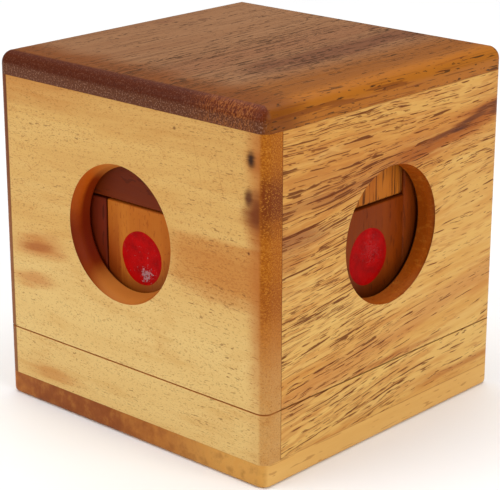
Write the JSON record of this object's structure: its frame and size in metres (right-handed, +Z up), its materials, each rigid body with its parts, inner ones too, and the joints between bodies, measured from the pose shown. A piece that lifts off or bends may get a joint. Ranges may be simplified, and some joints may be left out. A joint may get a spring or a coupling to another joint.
{
  "type": "wooden puzzle box",
  "caption": "Cubic hardwood box with a lift-off cover, a round window in each side, and interlocking glued cube pieces inside whose red dots show in the windows.",
  "frame": {"origin": "centre of the underside of the box", "axes": "+Z up through the top plate, +X along the front to the right, +Y from the front to the back"},
  "size_m": [0.09, 0.09, 0.092],
  "materials": {
    "top_wood": "oiled, satin",
    "pale_wood": "oiled, satin",
    "striped_wood": "oiled, satin",
    "bottom_wood": "oiled, satin",
    "honey_wood": "oiled, satin",
    "tan_wood": "oiled, satin",
    "brown_wood": "oiled, satin",
    "dark_wood": "oiled, satin",
    "red_enamel": "glossy enamel"
  },
  "bodies": {
    "base": {"bottom_plate": "bottom_wood", "front_lower_wall": "pale_wood", "back_lower_wall": "pale_wood", "left_lower_wall": "striped_wood", "right_lower_wall": "striped_wood"},
    "left_twist": {"left_twist_upright": "honey_wood", "left_twist_foot_cube": "honey_wood", "left_twist_rear_cube": "honey_wood", "front_dot": "red_enamel"},
    "tripod": {"tripod_stick": "tan_wood", "tripod_top_cube": "tan_wood", "tripod_side_cube": "tan_wood"},
    "corner": {"corner_upright": "dark_wood", "corner_side_cube": "dark_wood", "left_dot": "red_enamel"},
    "tee": {"tee_bar": "brown_wood", "tee_stem_cube": "brown_wood", "right_dot": "red_enamel"},
    "zigzag": {"zigzag_stick": "honey_wood", "zigzag_lower_cube": "honey_wood", "zigzag_upper_cube": "honey_wood", "back_dot": "red_enamel"},
    "right_twist": {"right_twist_upright": "tan_wood", "right_twist_side_cube": "tan_wood", "right_twist_inner_cube": "tan_wood"},
    "ell": {"ell_front_stick": "dark_wood", "ell_rear_stick": "dark_wood"},
    "cover": {"top_plate": "top_wood", "front_upper_wall": "pale_wood", "back_upper_wall": "pale_wood", "left_upper_wall": "striped_wood", "right_upper_wall": "striped_wood"}
  },
  "joints": [
    {"name": "left_twist_lift", "type": "slide", "parent": "base", "child": "left_twist", "axis": [0, 0, 1], "range_m": [0, 0.06]},
    {"name": "tripod_lift", "type": "slide", "parent": "left_twist", "child": "tripod", "axis": [0, 0, 1], "range_m": [0, 0.06]},
    {"name": "corner_lift", "type": "slide", "parent": "tripod", "child": "corner", "axis": [0, 0, 1], "range_m": [0, 0.06]},
    {"name": "tee_lift", "type": "slide", "parent": "corner", "child": "tee", "axis": [0, 0, 1], "range_m": [0, 0.06]},
    {"name": "zigzag_lift", "type": "slide", "parent": "tee", "child": "zigzag", "axis": [0, 0, 1], "range_m": [0, 0.06]},
    {"name": "right_twist_lift", "type": "slide", "parent": "zigzag", "child": "right_twist", "axis": [0, 0, 1], "range_m": [0, 0.06]},
    {"name": "ell_lift", "type": "slide", "parent": "right_twist", "child": "ell", "axis": [0, 0, 1], "range_m": [0, 0.06]},
    {"name": "cover_lift", "type": "slide", "parent": "ell", "child": "cover", "axis": [0, 0, 1], "range_m": [0, 0.08]}
  ]
}
